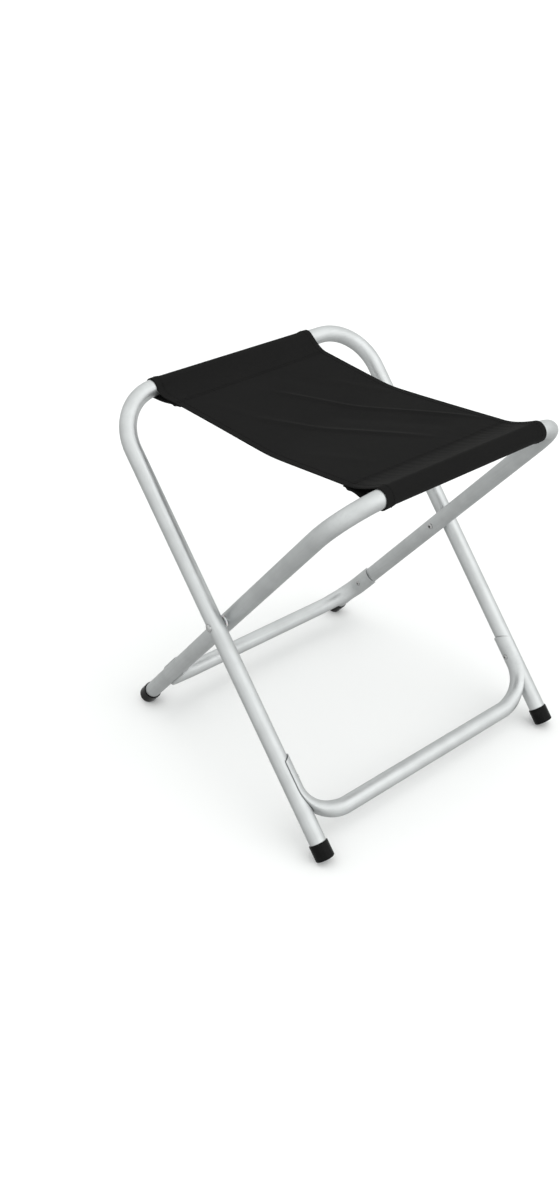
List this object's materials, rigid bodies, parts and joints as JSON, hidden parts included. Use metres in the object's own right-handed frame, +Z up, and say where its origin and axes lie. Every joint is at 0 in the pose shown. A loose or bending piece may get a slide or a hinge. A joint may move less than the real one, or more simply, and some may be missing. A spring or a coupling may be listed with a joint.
{
  "type": "folding camp stool",
  "caption": "Folding camp stool: crossed bent-tube frames on a pivot, each with a brace and rubber feet, and a fabric sling seat sleeved over the two top rails.",
  "frame": {"origin": "on the floor, under the middle of the open stool", "axes": "+Z is up. The two seat rails, the braces and the pivot line run along Y. The outer frame's rail is at -X and its feet at +X, and the inner frame's are the other way round. Left is +Y and right is -Y."},
  "size_m": [0.3708, 0.3768, 0.4195],
  "materials": {
    "tube": "satin clear-coated drawn tube",
    "blind_rivet": "bright",
    "mandrel": "broken end, dull",
    "pivot_rivet": "bright zinc plate",
    "spacer": "natural nylon",
    "foot_cap": "smooth black, slightly glossy",
    "sling_fabric": "matte charcoal woven polyester"
  },
  "bodies": {
    "outer_frame": {"outer_frame_tube": "tube", "outer_brace": "tube", "outer_brace_rivet_left": "blind_rivet", "outer_brace_rivet_right": "blind_rivet", "outer_rivet_mandrel_left": "mandrel", "outer_rivet_mandrel_right": "mandrel", "outer_foot_cap_left": "foot_cap", "outer_foot_cap_right": "foot_cap", "pivot_rivet_left": "pivot_rivet", "pivot_rivet_right": "pivot_rivet", "pivot_spacer_left": "spacer", "pivot_spacer_right": "spacer", "seat_sling": "sling_fabric"},
    "inner_frame": {"inner_frame_tube": "tube", "inner_brace": "tube", "inner_brace_rivet_left": "blind_rivet", "inner_brace_rivet_right": "blind_rivet", "inner_rivet_mandrel_left": "mandrel", "inner_rivet_mandrel_right": "mandrel", "inner_foot_cap_left": "foot_cap", "inner_foot_cap_right": "foot_cap"}
  },
  "joints": [
    {"name": "fold", "type": "hinge", "parent": "outer_frame", "child": "inner_frame", "pos_m": [0, 0, 0.21101], "axis": [0, -1, 0], "range_deg": [0, 76], "deforming": ["seat_sling"]}
  ]
}
